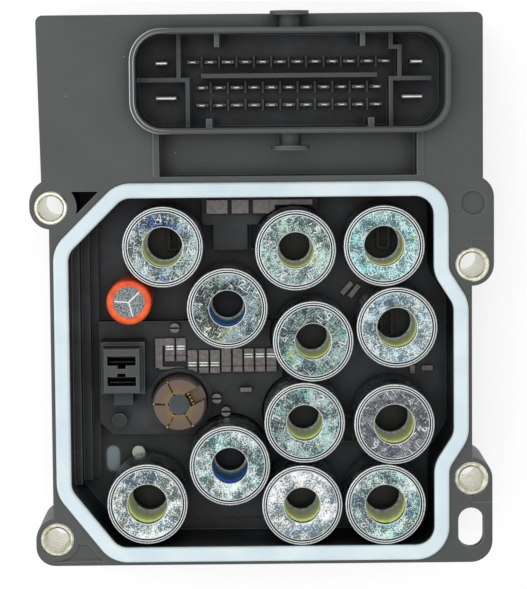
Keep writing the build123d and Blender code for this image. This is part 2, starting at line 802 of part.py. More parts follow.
with BuildPart() as capacitor_sleeve:
    with BuildSketch(Plane.XY.offset(cavity_floor)):
        with Locations(capacitor_place):
            Circle(capacitor_radius + capacitor_sleeve_wall)
    extrude(amount=capacitor_top + capacitor_sleeve_wall - cavity_floor)
    fillet(capacitor_sleeve.edges().group_by(Axis.Z)[-1], radius=capacitor_edge + capacitor_sleeve_wall)
    with BuildSketch(Plane.XY.offset(cavity_floor)):
        with Locations(capacitor_place):
            Circle(capacitor_radius - capacitor_lip)
    extrude(amount=capacitor_top + capacitor_sleeve_wall - cavity_floor, mode=Mode.SUBTRACT)
    with BuildSketch(Plane.XY.offset(cavity_floor)):
        with Locations(capacitor_place):
            Circle(capacitor_radius)
    extrude(amount=capacitor_top - capacitor_edge - cavity_floor, mode=Mode.SUBTRACT)
    with BuildSketch(Plane.XY.offset(capacitor_top - capacitor_edge)):
        with Locations(capacitor_place):
            Circle(capacitor_radius)
    extrude(amount=capacitor_edge, mode=Mode.SUBTRACT)
capacitor_sleeve.part.label = "capacitor_sleeve"
export_step(capacitor_sleeve.part, "parts/capacitor_sleeve.step")

# ---- motor socket ------------------------------------------------------------------------
at_socket = Plane((*socket_place, deck_top))
slot_floor = socket_top - socket_slot_depth
with BuildPart() as motor_socket:
    with BuildSketch(at_socket):
        Rectangle(socket_width + 2 * socket_margin, socket_length + 2 * socket_margin)
    extrude(amount=socket_step - deck_top)
    with BuildSketch(at_socket):
        Rectangle(socket_width, socket_length)
    extrude(amount=socket_top - deck_top)
    chamfer(motor_socket.edges().group_by(Axis.Z)[-1], length=socket_bevel)
    # latch tab in front of the socket
    with BuildSketch(at_socket):
        with Locations((0, -socket_length / 2)):
            Rectangle(socket_tab_width, socket_margin + socket_tab_reach, align=(Align.CENTER, Align.MAX))
    extrude(amount=socket_tab_top - deck_top)
    # two tee-shaped slots, their notches facing each other
    with BuildSketch(Plane((*socket_place, socket_top))):
        for side in (-1, 1):
            with Locations((0, side * socket_slot_spacing / 2)):
                Rectangle(socket_slot_width, socket_slot_length)
            with Locations((0, side * (socket_slot_spacing - socket_slot_length - socket_notch_depth) / 2)):
                Rectangle(socket_notch_width, socket_notch_depth)
    extrude(amount=-socket_slot_depth, mode=Mode.SUBTRACT)
motor_socket.part.label = "motor_socket"
export_step(motor_socket.part, "parts/motor_socket.step")

with BuildPart() as motor_contacts:
    with BuildSketch(Plane((*socket_place, slot_floor))):
        for side in (-1, 1):
            with Locations((0, side * socket_slot_spacing / 2)):
                Rectangle(contact_width, contact_gap + 2 * contact_sheet)
    extrude(amount=contact_height)
    with BuildSketch(Plane((*socket_place, slot_floor + contact_sheet))):
        for side in (-1, 1):
            with Locations((0, side * socket_slot_spacing / 2)):
                Rectangle(contact_width, contact_gap)
    extrude(amount=contact_height - contact_sheet, mode=Mode.SUBTRACT)
motor_contacts.part.label = "motor_contacts"
export_step(motor_contacts.part, "parts/motor_contacts.step")

# ---- choke -------------------------------------------------------------------------------
choke_land = choke_radius - choke_hub_radius
choke_middle = (choke_radius + choke_hub_radius) / 2
with BuildPart() as choke_core:
    with BuildSketch(Plane((*choke_place, cavity_floor))):
        Circle(choke_radius)
        Circle(choke_hub_radius, mode=Mode.SUBTRACT)
    extrude(amount=choke_top - cavity_floor)
    chamfer(choke_core.edges().group_by(Axis.Z)[-1].sort_by(Edge.length)[-1], length=choke_edge)
    with BuildSketch(Plane((*choke_place, choke_top))):
        for angle in choke_slot_angles:
            with PolarLocations(choke_middle, 1, start_angle=angle):
                Rectangle(choke_land + choke_edge, choke_slot_width)
    extrude(amount=-choke_slot_depth, mode=Mode.SUBTRACT)
    with BuildSketch(Plane((*choke_place, choke_top))):
        with PolarLocations(choke_middle, 1, start_angle=choke_exit_angle):
            Rectangle(choke_land + choke_edge, choke_exit_width)
    extrude(amount=-choke_exit_depth, mode=Mode.SUBTRACT)
choke_core.part.label = "choke_core"
export_step(choke_core.part, "parts/choke_core.step")

# flat wire that lies in each slot and turns up at both ends, and the ends that leave the core
wire_span = choke_land - 2 * wire_inset
with BuildPart() as choke_winding:
    with BuildSketch(Plane((*choke_place, choke_top - choke_slot_depth))):
        for angle in choke_slot_angles:
            with PolarLocations(choke_middle, 1, start_angle=angle):
                Rectangle(wire_span, wire_width)
    extrude(amount=wire_width)
    with BuildSketch(Plane((*choke_place, choke_top - choke_slot_depth))):
        for angle in choke_slot_angles:
            for side in (-1, 1):
                with PolarLocations(choke_middle + side * (wire_span - wire_width) / 2, 1, start_angle=angle):
                    Rectangle(wire_width, wire_width)
    extrude(amount=choke_slot_depth)
    with BuildSketch(Plane((*choke_place, choke_top - choke_exit_depth))):
        with PolarLocations(choke_hub_radius + wire_inset + wire_width, 1, start_angle=choke_exit_angle):
            with GridLocations(1, exit_wire_pitch, 1, exit_wires):
                Rectangle(wire_width, wire_width)
    extrude(amount=choke_exit_depth)
choke_winding.part.label = "choke_winding"
export_step(choke_winding.part, "parts/choke_winding.step")

# ---- terminals of the plug ---------------------------------------------------------------
def terminals(places, width, thickness):
    """Flat terminals from the circuit board up through the plug floor, with bevelled tips."""
    with BuildPart() as group:
        with BuildSketch(at_plug(board_top)):
            with Locations(*places):
                Rectangle(width, thickness)
        extrude(amount=pin_top - tip_length - board_top)
        with BuildSketch(at_plug(pin_top - tip_length)):
            with Locations(*places):
                Rectangle(width, thickness)
        extrude(amount=tip_length, taper=tip_angle)
    return group.part


with BuildPart() as signal_pins:
    add(terminals(pin_places, pin_width, pin_thickness))
    with BuildSketch(at_plug(plug_floor)):
        with Locations(*pin_places):
            Rectangle(pin_shoulder_width, pin_thickness)
    extrude(amount=pin_shoulder_height)
signal_pins.part.label = "signal_pins"
export_step(signal_pins.part, "parts/signal_pins.step")

with BuildPart() as power_blades:
    add(terminals(small_blade_places, small_blade_width, blade_thickness))
    add(terminals(large_blade_places, large_blade_width, blade_thickness))
power_blades.part.label = "power_blades"
export_step(power_blades.part, "parts/power_blades.step")

# ---- lead frame and the posts welded to it -----------------------------------------------
with BuildPart() as lead_frame:
    with BuildSketch(Plane.XY.offset(deck_top)):
        for index, strip_north in enumerate(strip_ends):
            with Locations((first_strip_x + index * strip_pitch, strip_north)):
                Rectangle(strip_width, strip_length, align=(Align.CENTER, Align.MAX))
        for left, right in plate_ends:
            block(left, right, plates_south, plates_north)
        block(plate_ends[-1][1], plate_tail_right, plate_tail_south, plates_north)
        for path, width in ((wide_bus_path, wide_bus_width), (narrow_bus_path, narrow_bus_width)):
            with BuildLine() as bus:
                Polyline(*path)
            trace(bus.edges(), line_width=width)
        cut_coil_circles(frame_clearance)
    extrude(amount=strip_thickness)
    # the lower end of each strip is pressed up into a welding land
    with BuildSketch(Plane.XY.offset(deck_top + strip_thickness)):
        for index, strip_north in enumerate(strip_ends):
            with Locations((first_strip_x + index * strip_pitch, strip_north - strip_length)):
                Rectangle(strip_width, strip_step_length, align=(Align.CENTER, Align.MIN))
        cut_coil_circles(frame_clearance)
    extrude(amount=strip_step)
    with BuildSketch(Plane.XY.offset(cavity_floor)):
        for x, y, length, turn in floor_pads:
            with Locations((x, y)):
                Rectangle(length, floor_pad_width, rotation=turn)
    extrude(amount=strip_thickness)
lead_frame.part.label = "lead_frame"
export_step(lead_frame.part, "parts/lead_frame.step")

with BuildPart() as split_posts:
    with BuildSketch(Plane.XY.offset(deck_top)):
        with Locations(*post_places):
            Circle(post_radius)
        with Locations(clip_place):
            Rectangle(clip_length, clip_width)
    extrude(amount=post_height)
    with BuildSketch(Plane.XY.offset(deck_top + post_height)):
        with Locations(*post_places):
            Rectangle(2 * post_radius, post_slit)
    extrude(amount=-post_slit_depth, mode=Mode.SUBTRACT)
split_posts.part.label = "split_posts"
export_step(split_posts.part, "parts/split_posts.step")

# ---- vent plug and membrane --------------------------------------------------------------
with BuildPart() as vent_plug:
    with BuildSketch(Plane.XY.offset(cavity_floor)):
        with Locations(vent_place):
            Circle(vent_radius)
    extrude(amount=can_bottom - vent_headroom - cavity_floor)
vent_plug.part.label = "vent_plug"
export_step(vent_plug.part, "parts/vent_plug.step")

with BuildPart() as vent_membrane:
    with BuildSketch(Plane.XY.offset(cavity_floor - oval_depth)):
        with Locations(oval_place):
            SlotOverall(oval_length, oval_width, rotation=90)
    extrude(amount=membrane_thickness)
vent_membrane.part.label = "vent_membrane"
export_step(vent_membrane.part, "parts/vent_membrane.step")
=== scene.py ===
import math

import bpy
import numpy as np
from mathutils import Matrix


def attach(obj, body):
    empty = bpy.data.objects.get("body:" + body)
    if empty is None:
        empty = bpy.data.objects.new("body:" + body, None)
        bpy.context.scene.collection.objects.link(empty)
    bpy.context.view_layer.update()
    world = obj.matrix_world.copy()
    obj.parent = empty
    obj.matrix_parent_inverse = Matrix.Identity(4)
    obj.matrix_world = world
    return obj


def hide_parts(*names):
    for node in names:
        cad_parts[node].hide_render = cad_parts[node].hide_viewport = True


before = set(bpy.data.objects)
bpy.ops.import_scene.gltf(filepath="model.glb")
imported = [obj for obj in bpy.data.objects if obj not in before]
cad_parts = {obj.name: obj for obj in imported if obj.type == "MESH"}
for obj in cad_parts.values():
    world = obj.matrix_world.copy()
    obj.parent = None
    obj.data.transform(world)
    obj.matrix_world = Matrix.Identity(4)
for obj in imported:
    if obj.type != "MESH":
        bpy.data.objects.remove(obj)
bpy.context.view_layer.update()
mm = 0.001


# ---- setting -----------------------------------------------------------------------------
# The module lies on its rear cover on a white table inside a white light tent, and is seen
# from high above its plug end through a long lens.
def linear(hex_colour):
    """An sRGB hex colour as linear red, green, blue and an alpha of one."""
    channels = np.array([int(hex_colour[i:i + 2], 16) / 255 for i in (1, 3, 5)])
    low = channels / 12.92
    high = ((channels + 0.055) / 1.055) ** 2.4
    return (*np.where(channels <= 0.04045, low, high).tolist(), 1.0)


def node(tree, kind, inputs=None, stops=None, **settings):
    """Add one shader node, set its properties, feed its inputs and set a ramp's colour stops."""
    new = tree.nodes.new("ShaderNode" + kind)
    for name, value in settings.items():
        setattr(new, name, value)
    for name, value in (inputs or {}).items():
        if isinstance(value, bpy.types.NodeSocket):
            tree.links.new(value, new.inputs[name])
        else:
            new.inputs[name].default_value = value
    if stops:
        elements = new.color_ramp.elements
        while len(elements) < len(stops):
            elements.new(1.0)
        for element, (place, colour) in zip(elements, stops):
            element.position = place
            element.color = linear(colour)
    return new


def material(name):
    """An empty node material's block, tree and shader."""
    new = bpy.data.materials.new(name)
    new.use_nodes = True
    new.node_tree.nodes.clear()
    shader = node(new.node_tree, "BsdfPrincipled")
    node(new.node_tree, "OutputMaterial", {"Surface": shader.outputs[0]})
    return new, new.node_tree, shader


def dress(piece, finish):
    """Give every face of a piece one finish."""
    piece.data.materials.clear()
    piece.data.materials.append(finish)


lens_px = 2355.9
image_height_px = 589
camera_place = (-2.886 * mm, 50.377 * mm, 563.3 * mm)
roll_y, tip_x, turn_z = -0.0058, -0.0806, -0.0087
camera_data = bpy.data.cameras.new("camera")
camera_data.sensor_width = 36.0
camera_data.lens = camera_data.sensor_width * lens_px / image_height_px
camera_data.shift_y = -0.06
camera = bpy.data.objects.new("camera", camera_data)
camera.matrix_world = (
    Matrix.Translation(camera_place)
    @ Matrix.Rotation(roll_y, 4, "Y")
    @ Matrix.Rotation(tip_x, 4, "X")
    @ Matrix.Rotation(turn_z, 4, "Z")
)
bpy.context.scene.collection.objects.link(camera)
bpy.context.scene.camera = camera
bpy.context.scene.view_settings.view_transform = "Standard"

# the tent: pure white where it is seen, a little dimmer as the light that falls on things
tent_level = 0.72
world = bpy.data.worlds.new("light_tent")
world.use_nodes = True
world.node_tree.nodes.clear()
tree = world.node_tree
ray = node(tree, "LightPath")
seen = node(tree, "Math", {
    0: ray.outputs["Is Camera Ray"], 1: ray.outputs["Is Transmission Ray"],
}, operation="MAXIMUM")
strength = node(tree, "MapRange", {"Value": seen.outputs[0], "To Min": tent_level, "To Max": 1.0})
sky = node(tree, "Background", {"Color": linear("#ffffff"), "Strength": strength.outputs[0]})
node(tree, "OutputWorld", {"Surface": sky.outputs[0]})
bpy.context.scene.world = world

# a soft box above the left shoulder of the plug end, and a narrow strip light low on the left
for name, size, height, place, turn_x, turn_y, level in (
    ("soft_box", 0.6, 0.6, (-0.16, 0.16, 0.75), -0.2, -0.2, 1.1),
    ("strip_light", 0.12, 0.7, (-0.55, -0.05, 0.28), 0.0, -1.1, 2.4),
):
    light = bpy.data.lights.new(name, "AREA")
    light.shape = "RECTANGLE"
    light.size = size
    light.size_y = height
    light.energy = level * math.pi * size * height
    lamp = bpy.data.objects.new(name, light)
    lamp.matrix_world = (
        Matrix.Translation(place)
        @ Matrix.Rotation(turn_x, 4, "X")
        @ Matrix.Rotation(turn_y, 4, "Y")
    )
    bpy.context.scene.collection.objects.link(lamp)

table_half = 2.0
table_drop = 0.2 * mm
table_glow = 0.68
table_mesh = bpy.data.meshes.new("table")
corners = np.array([(-1, -1), (1, -1), (1, 1), (-1, 1)]) * table_half
table_mesh.from_pydata([(x, y, -table_drop) for x, y in corners], [], [(0, 1, 2, 3)])
table = bpy.data.objects.new("table", table_mesh)
bpy.context.scene.collection.objects.link(table)
white_table, tree, shader = material("white_table")
shader.inputs["Base Color"].default_value = linear("#b4b4b4")
shader.inputs["Roughness"].default_value = 0.7
shader.inputs["Specular IOR Level"].default_value = 0.1
ray = node(tree, "LightPath")
seen = node(tree, "Math", {
    0: ray.outputs["Is Camera Ray"], 1: ray.outputs["Is Glossy Ray"],
}, operation="MAXIMUM")
seen = node(tree, "Math", {
    0: seen.outputs[0], 1: ray.outputs["Is Transmission Ray"],
}, operation="MAXIMUM")
glow = node(tree, "Math", {0: seen.outputs[0], 1: table_glow}, operation="MULTIPLY")
shader.inputs["Emission Color"].default_value = linear("#ffffff")
tree.links.new(glow.outputs[0], shader.inputs["Emission Strength"])
dress(table, white_table)


# ---- housing, rear cover and motor socket ------------------------------------------------
# One moulding of black polyamide with short glass fibre. The spark-eroded tool leaves a fine
# dull grain and faint flow marks. The front is painted paler as painted light and the low parts
# darker as painted shade; the front is also scuffed and a little dusty.
def moulded_plastic(name, shaded_deep, worn_and_lit, gloss, low=18.0, high=27.6, edge_highlight=0.6):
    """Dull moulded plastic: painted shade low down and on the walls, painted light on the front,
    scuffs and dust.
    """
    finish, tree, shader = material(name)
    place = node(tree, "TexCoord").outputs["Object"]
    axes = node(tree, "SeparateXYZ", {0: place}).outputs
    # the pocket beside the shroud takes the front's painted light, though it lies lower
    pocket_y, pocket_half, pocket_depth = 30.5 * mm, 5 * mm, 7.3 * mm
    beside = node(tree, "Math", {0: axes["Y"], 1: pocket_y, 2: pocket_half}, operation="COMPARE")
    level = node(tree, "Math", {
        0: beside.outputs[0], 1: pocket_depth, 2: axes["Z"],
    }, operation="MULTIPLY_ADD")
    lit_front = node(tree, "MapRange", {
        "Value": level.outputs[0], "From Min": low * mm, "From Max": high * mm,
    }, interpolation_type="SMOOTHSTEP")
    flow = node(tree, "TexNoise", {
        "Vector": place, "Scale": 1 / (18 * mm), "Detail": 4.0, "Roughness": 0.6,
    })
    drift = node(tree, "MapRange", {
        "Value": flow.outputs["Fac"], "From Min": 0.3, "From Max": 0.7, "To Min": 0.75,
        "To Max": 1.0,
    })
    share = node(tree, "Math", {0: lit_front.outputs[0], 1: drift.outputs[0]}, operation="MULTIPLY")
    # painted light: faces that look up are painted paler than the walls
    surface = node(tree, "NewGeometry")
    upward = node(tree, "SeparateXYZ", {0: surface.outputs["True Normal"]}).outputs["Z"]
    upward_light = node(tree, "MapRange", {
        "Value": upward, "From Min": 0.1, "From Max": 0.7, "To Min": 0.3,
    })
    share = node(tree, "Math", {0: share.outputs[0], 1: upward_light.outputs[0]}, operation="MULTIPLY")
    # painted light and shade: the paler colour on the lit front, the darker colour low down and on
    # the walls
    tone = node(tree, "Mix", {
        0: share.outputs[0], 6: linear(shaded_deep), 7: linear(worn_and_lit),
    }, data_type="RGBA")
    scuff = node(tree, "TexNoise", {
        "Vector": place, "Scale": 1 / (1.5 * mm), "Detail": 8.0, "Roughness": 0.75,
    })
    scuffed = node(tree, "MapRange", {
        "Value": scuff.outputs["Fac"], "From Min": 0.58, "From Max": 0.8, "To Max": 0.3,
    })
    mixed = node(tree, "Mix", {
        0: scuffed.outputs[0], 6: tone.outputs[2], 7: linear("#6a6e70"),
    }, data_type="RGBA")
    # a bluish haze of dust settles in patches on the low floors
    patch = node(tree, "MapRange", {
        "Value": flow.outputs["Fac"], "From Min": 0.48, "From Max": 0.68, "To Max": 0.3,
    })
    low_down = node(tree, "Math", {0: 1.0, 1: lit_front.outputs[0]}, operation="SUBTRACT")
    haze = node(tree, "Math", {0: patch.outputs[0], 1: low_down.outputs[0]}, operation="MULTIPLY")
    mixed = node(tree, "Mix", {
        0: haze.outputs[0], 6: mixed.outputs[2], 7: linear("#68707a"),
    }, data_type="RGBA")
    dust = node(tree, "TexVoronoi", {"Vector": place, "Scale": 1 / (2.2 * mm)})
    near = node(tree, "Math", {0: dust.outputs["Distance"], 1: 0.05}, operation="LESS_THAN")
    chosen = node(tree, "SeparateColor", {0: dust.outputs["Color"]})
    rare = node(tree, "Math", {0: chosen.outputs[0], 1: 0.88}, operation="GREATER_THAN")
    speck = node(tree, "Math", {0: near.outputs[0], 1: rare.outputs[0]}, operation="MULTIPLY")
    dusted = node(tree, "Mix", {
        0: speck.outputs[0], 6: mixed.outputs[2], 7: linear("#b4babc"),
    }, data_type="RGBA")
    # painted shade darkens the corners by ambient occlusion, and a painted highlight pales the
    # edges
    radius = node(tree, "Bevel", {"Radius": 0.4 * mm}, samples=6)
    open_sky = node(tree, "AmbientOcclusion", {"Distance": 5 * mm}, samples=6)
    corner_shade = node(tree, "MapRange", {
        "Value": open_sky.outputs["AO"], "From Min": 0.25, "From Max": 0.8, "To Min": 0.35,
    })
    shaded = node(tree, "Mix", {
        0: 1.0, 6: dusted.outputs[2], 7: corner_shade.outputs[0],
    }, data_type="RGBA", blend_type="MULTIPLY")
    facing = node(tree, "VectorMath", {
        0: radius.outputs[0], 1: surface.outputs["True Normal"],
    }, operation="DOT_PRODUCT")
    edge_highlight_mask = node(tree, "MapRange", {
        "Value": facing.outputs["Value"], "From Min": 0.98, "From Max": 0.82, "To Max": edge_highlight,
    })
    edge_highlighted = node(tree, "Mix", {
        0: edge_highlight_mask.outputs[0], 6: shaded.outputs[2], 7: linear("#9aa0a1"),
    }, data_type="RGBA")
    tree.links.new(edge_highlighted.outputs[2], shader.inputs["Base Color"])
    # painted shade also dims the reflection in the corners
    corner_shaded_specular = node(tree, "Math", {0: corner_shade.outputs[0], 1: 0.5}, operation="MULTIPLY")
    tree.links.new(corner_shaded_specular.outputs[0], shader.inputs["Specular IOR Level"])
    dull = node(tree, "MapRange", {
        "Value": scuff.outputs["Fac"], "To Min": gloss - 0.08, "To Max": gloss + 0.12,
    })
    tree.links.new(dull.outputs[0], shader.inputs["Roughness"])
    # the tool's rounded edges, and its spark-eroded grain drawn coarse enough to show
    grain = node(tree, "TexNoise", {"Vector": place, "Scale": 1 / (0.35 * mm), "Detail": 2.0})
    bump = node(tree, "Bump", {
        "Height": grain.outputs["Fac"], "Normal": radius.outputs[0], "Strength": 0.35,
        "Distance": 0.02 * mm,
    })
    tree.links.new(bump.outputs[0], shader.inputs["Normal"])
    shader.inputs["IOR"].default_value = 1.53
    return finish


black_polyamide = moulded_plastic("black_polyamide", "#1e2121", "#4d4f4f", 0.45)
# a painted highlight of two pale lines along the left of the shroud's rounded rim
tree = black_polyamide.node_tree
shader = tree.nodes["Principled BSDF"]
axes = node(tree, "SeparateXYZ", {0: node(tree, "TexCoord").outputs["Object"]}).outputs
left_start, left_full = -20 * mm, -29 * mm
lower_z, lower_half = 35.1 * mm, 0.16 * mm
upper_z, upper_half = 35.88 * mm, 0.08 * mm
left = node(tree, "MapRange", {
    "Value": axes["X"], "From Min": left_start, "From Max": left_full, "To Max": 0.9,
})
lower_line = node(tree, "Math", {0: axes["Z"], 1: lower_z, 2: lower_half}, operation="COMPARE")
upper_line = node(tree, "Math", {0: axes["Z"], 1: upper_z, 2: upper_half}, operation="COMPARE")
rim_highlight_lines = node(tree, "Math", {0: lower_line.outputs[0], 1: upper_line.outputs[0]}, operation="ADD")
rim_highlight = node(tree, "Math", {0: rim_highlight_lines.outputs[0], 1: left.outputs[0]}, operation="MULTIPLY")
under = shader.inputs["Base Color"].links[0].from_socket
tone = node(tree, "Mix", {0: rim_highlight.outputs[0], 6: under, 7: linear("#e4e8e8")}, data_type="RGBA")
tree.links.new(tone.outputs[2], shader.inputs["Base Color"])
for name in ("housing", "rear_cover"):
    dress(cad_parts[name], black_polyamide)
socket_polyester = moulded_plastic(
    "grey_black_polyester", "#1b1d1d", "#3f4446", 0.45, low=10.0, high=22.0,
)
dress(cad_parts["motor_socket"], socket_polyester)

# ---- sealing bead ------------------------------------------------------------------------
# Pale blue silicone dispensed as one endless bead and cured in its groove. It is soft and
# satin, a little translucent at its edges, and its surface waves slightly.
silicone, tree, shader = material("pale_blue_silicone")
place = node(tree, "TexCoord").outputs["Object"]
wave = node(tree, "TexNoise", {"Vector": place, "Scale": 1 / (9 * mm), "Detail": 3.0})
tint = node(tree, "ValToRGB", {0: wave.outputs["Fac"]}, stops=[(0.3, "#d6e8f0"), (0.7, "#e7f4f8")])
tree.links.new(tint.outputs[0], shader.inputs["Base Color"])
soft = node(tree, "TexNoise", {"Vector": place, "Scale": 1 / (2.5 * mm), "Detail": 4.0})
bump = node(tree, "Bump", {"Height": soft.outputs["Fac"], "Strength": 0.3, "Distance": 0.15 * mm})
tree.links.new(bump.outputs[0], shader.inputs["Normal"])
shader.inputs["Roughness"].default_value = 0.42
shader.inputs["IOR"].default_value = 1.41
shader.inputs["Subsurface Weight"].default_value = 0.1
shader.inputs["Subsurface Radius"].default_value = (0.8, 1.0, 1.2)
shader.inputs["Subsurface Scale"].default_value = 0.5 * mm
dress(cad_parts["sealing_gasket"], silicone)


# ---- coil cans and pole rings ------------------------------------------------------------
# Each can is deep-drawn steel and its pole ring is stamped. Both are zinc-plated and
# passivated: grey with a crust of fine pale crystals, rubbed scratches and cloudy films of
# blue, teal or straw that differ from coil to coil.
def zinc(name, dark, crust, film, film_share, seed, roughness):
    """Passivated zinc: dark metal under a pale fleck crust, a cloudy tinted film and scratches."""
    finish, tree, shader = material(name)
    place = node(tree, "TexCoord").outputs["Object"]
    cloud = node(tree, "TexNoise", {
        "Vector": place, "W": seed, "Scale": 1 / (3.4 * mm), "Detail": 5.0, "Roughness": 0.65,
    }, noise_dimensions="4D")
    # the pale crystals are drawn about 0.3 mm across, coarser than real, so that they show
    fleck = node(tree, "TexNoise", {
        "Vector": place, "W": seed, "Scale": 1 / (0.28 * mm), "Detail": 2.0, "Roughness": 0.5,
    }, noise_dimensions="4D")
    both = node(tree, "Math", {0: cloud.outputs["Fac"], 1: 0.75}, operation="MULTIPLY")
    both = node(tree, "Math", {
        0: fleck.outputs["Fac"], 1: 0.6, 2: both.outputs[0],
    }, operation="MULTIPLY_ADD")
    grown = node(tree, "MapRange", {"Value": both.outputs[0], "From Min": 0.64, "From Max": 0.77})
    crusted = node(tree, "Mix", {
        0: grown.outputs[0], 6: linear(dark), 7: linear(crust),
    }, data_type="RGBA")
    stain = node(tree, "TexNoise", {
        "Vector": place, "W": seed + 7.0, "Scale": 1 / (6 * mm), "Detail": 2.0,
    }, noise_dimensions="4D")
    spread = node(tree, "MapRange", {
        "Value": stain.outputs["Fac"], "From Min": 0.48, "From Max": 0.62, "To Max": film_share,
    })
    age = node(tree, "TexNoise", {
        "Vector": place, "W": seed + 3.0, "Scale": 1 / (3 * mm), "Detail": 1.0,
    }, noise_dimensions="4D")
    straw = node(tree, "MapRange", {
        "Value": age.outputs["Fac"], "From Min": 0.56, "From Max": 0.64,
    })
    tint = node(tree, "Mix", {
        0: straw.outputs[0], 6: linear(film), 7: linear("#cdbf86"),
    }, data_type="RGBA")
    filmed = node(tree, "Mix", {
        0: spread.outputs[0], 6: crusted.outputs[2], 7: tint.outputs[2],
    }, data_type="RGBA", blend_type="OVERLAY")
    # scratches in two directions, drawn 0.2 to 0.3 mm wide, coarser than real
    scratched = filmed.outputs[2]
    for turn, stretch in ((0.6 + seed, 9.0), (2.1 + seed, 14.0)):
        turned = node(tree, "Mapping", {
            "Vector": place, "Rotation": (0.0, 0.0, turn), "Scale": (1.0, 1 / stretch, 1.0),
        }, vector_type="TEXTURE")
        line = node(tree, "TexNoise", {
            "Vector": turned.outputs[0], "Scale": 1 / (2.6 * mm), "Detail": 3.0, "Roughness": 0.6,
        })
        mark = node(tree, "MapRange", {
            "Value": line.outputs["Fac"], "From Min": 0.625, "From Max": 0.645, "To Max": 0.95,
        })
        scratched = node(tree, "Mix", {
            0: mark.outputs[0], 6: scratched, 7: linear("#f2f5f4"),
        }, data_type="RGBA").outputs[2]
    tree.links.new(scratched, shader.inputs["Base Color"])
    shader.inputs["Metallic"].default_value = 1.0
    rough = node(tree, "MapRange", {
        "Value": grown.outputs[0], "To Min": roughness, "To Max": roughness + 0.25,
    })
    tree.links.new(rough.outputs[0], shader.inputs["Roughness"])
    bump = node(tree, "Bump", {
        "Height": fleck.outputs["Fac"], "Strength": 0.3, "Distance": 0.03 * mm,
    })
    tree.links.new(bump.outputs[0], shader.inputs["Normal"])
    return finish


def plated(name, dark, pale, cloud_mm, roughness):
    """Plated metal with soft cloudy variation in tone, roughness and relief."""
    finish, tree, shader = material(name)
    place = node(tree, "TexCoord").outputs["Object"]
    cloud = node(tree, "TexNoise", {
        "Vector": place, "Scale": 1 / (cloud_mm * mm), "Detail": 5.0, "Roughness": 0.65,
    })
    tone = node(tree, "ValToRGB", {0: cloud.outputs["Fac"]}, stops=[(0.35, dark), (0.65, pale)])
    tree.links.new(tone.outputs[0], shader.inputs["Base Color"])
    shader.inputs["Metallic"].default_value = 1.0
    rough = node(tree, "MapRange", {
        "Value": cloud.outputs["Fac"], "To Min": roughness - 0.1, "To Max": roughness + 0.15,
    })
    tree.links.new(rough.outputs[0], shader.inputs["Roughness"])
    radius = node(tree, "Bevel", {"Radius": 0.12 * mm}, samples=4)
    bump = node(tree, "Bump", {
        "Height": cloud.outputs["Fac"], "Normal": radius.outputs[0], "Strength": 0.2,
        "Distance": 0.02 * mm,
    })
    tree.links.new(bump.outputs[0], shader.inputs["Normal"])
    return finish


def lathe(name, centre, groups, finishes):
    """Turned piece: each profile point (radius, height) goes round the centre,
    x = cx + r cos t, y = cy + r sin t, z = height, and the profile closes on itself.
    The profile comes in groups, each with the number of the finish its faces take."""
    profile = [point for _, points in groups for point in points]
    bands = [band for band, points in groups for _ in points]
    steps = 96
    sharp = math.radians(35)
    turn = np.linspace(0.0, 2 * math.pi, steps, endpoint=False)
    radius, height = np.array(profile).T
    x = centre[0] + np.outer(np.cos(turn), radius)
    y = centre[1] + np.outer(np.sin(turn), radius)
    z = np.tile(height, (steps, 1))
    points = np.stack([x, y, z], axis=-1).reshape(-1, 3) * mm
    count = len(profile)
    around, along = np.meshgrid(np.arange(steps), np.arange(count), indexing="ij")
    next_around = (around + 1) % steps
    next_along = (along + 1) % count
    quads = np.stack([
        around * count + along,
        next_around * count + along,
        next_around * count + next_along,
        around * count + next_along,
    ], axis=-1).reshape(-1, 4)
    mesh = bpy.data.meshes.new(name)
    mesh.from_pydata(points.tolist(), [], quads.tolist())
    for finish in finishes:
        mesh.materials.append(finish)
    mesh.polygons.foreach_set("material_index", np.tile(bands, steps))
    mesh.polygons.foreach_set("use_smooth", np.ones(len(quads), dtype=bool))
    mesh.set_sharp_from_angle(angle=sharp)
    mesh.update()
    piece = bpy.data.objects.new(name, mesh)
    bpy.context.scene.collection.objects.link(piece)
    return piece


def arc(centre_radius, centre_height, radius, start, end):
    """Five profile points on an arc, between two angles in degrees."""
    return [
        (centre_radius + radius * math.cos(turn), centre_height + radius * math.sin(turn))
        for turn in np.radians(np.linspace(start, end, 5))
    ]


coil_top = 28.5
can_bottom = 10.5
can_radius = 9.25
cup_radius = 8.3
ring_radius = 8.2
ring_bottom = 26.6
rim_round = 0.3
foot_round = 0.6
can_plate = 1.4
hole_gap = 0.3
# middle of each coil, bore radius, then dark metal, crust, film and the film's share
coil_looks = [
    (-22.75, 10.1, 4.55, "#3f494d", "#b9cbc6", "#5e78c8", 0.75),
    (-8.15, -4.05, 4.1, "#2f3941", "#9cb0b4", "#c8b070", 0.5),
    (7.55, 9.15, 4.1, "#485454", "#c2dcda", "#b8c4a0", 0.6),
    (27.75, 9.95, 4.55, "#506b6f", "#caeded", "#78b8c0", 0.7),
    (11.4, -11.8, 4.1, "#3b454b", "#a2bbb8", "#7cc0a8", 0.6),
    (30.6, -8.8, 4.55, "#5e6b70", "#daedee", "#a0bcd0", 0.5),
    (9.35, -30.55, 4.1, "#475356", "#bfd5d4", "#80b8b0", 0.6),
    (29.9, -31.05, 4.55, "#57565b", "#94989c", "#8088a0", 0.4),
    (-7.9, -40.3, 4.1, "#546265", "#eafaf7", "#88c0b8", 0.6),
    (-26.9, -49.05, 4.55, "#61706e", "#f9fffb", "#7088c8", 0.35),
    (8.65, -49.65, 4.1, "#6c7e82", "#ffffff", "#88b0d8", 0.35),
    (27.8, -49.65, 4.55, "#546468", "#e3f8f2", "#70b0c0", 0.6),
]
